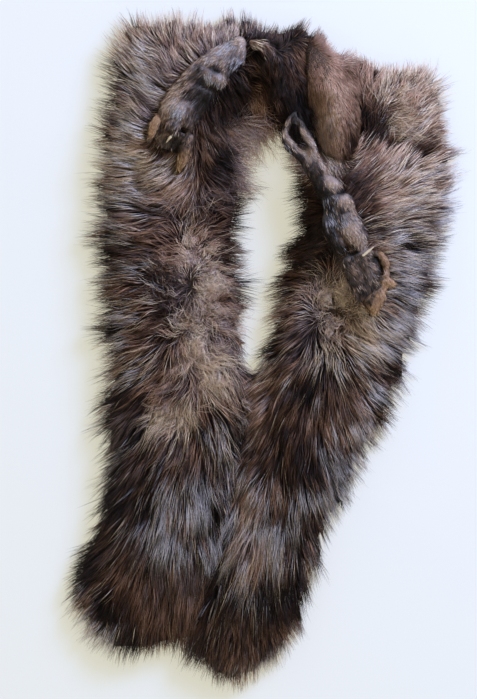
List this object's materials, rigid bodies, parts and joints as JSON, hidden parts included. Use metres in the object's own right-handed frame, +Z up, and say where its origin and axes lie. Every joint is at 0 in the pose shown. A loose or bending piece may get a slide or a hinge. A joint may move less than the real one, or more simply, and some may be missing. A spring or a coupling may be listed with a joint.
{
  "type": "fur collar stole",
  "caption": "Long-haired brown fur collar stole laid flat in a loop, right end over the left, folded at the shoulder, with short-haired legs and paws.",
  "frame": {"origin": "on the surface it lies on, below the middle of the stole", "axes": "+Y from the rounded ends up to the nape, +X towards the shoulder folds, +Z up"},
  "size_m": [0.3652, 0.6393, 0.0663],
  "materials": {
    "guard_hair": "long dark brown fur with silver-lavender sheen on its guard hair",
    "nape_hair": "bunched near-black brown fur",
    "fold_hair": "soft taupe fur",
    "flecked_hair": "beige fur flecked with cream",
    "leg_hair": "short grey-brown hair",
    "bare_toe": "tan, nearly bare skin",
    "claw": "pale horn"
  },
  "bodies": {
    "root": {"left_pelt": "guard_hair", "right_pelt": "guard_hair", "nape_pelt": "nape_hair", "throat_fold": "nape_hair", "nape_fold": "fold_hair", "shoulder_fold": "flecked_hair", "left_leg": "leg_hair", "left_paw": "leg_hair", "left_toe_outer": "bare_toe", "left_toe_middle": "leg_hair", "left_toe_inner": "bare_toe", "left_claw": "claw", "right_leg": "leg_hair", "right_leg_strap_outer": "leg_hair", "right_leg_strap_inner": "leg_hair", "right_paw": "leg_hair", "right_toe_upper": "bare_toe", "right_toe_middle": "bare_toe", "right_toe_lower": "bare_toe", "right_claw": "claw"}
  },
  "joints": []
}
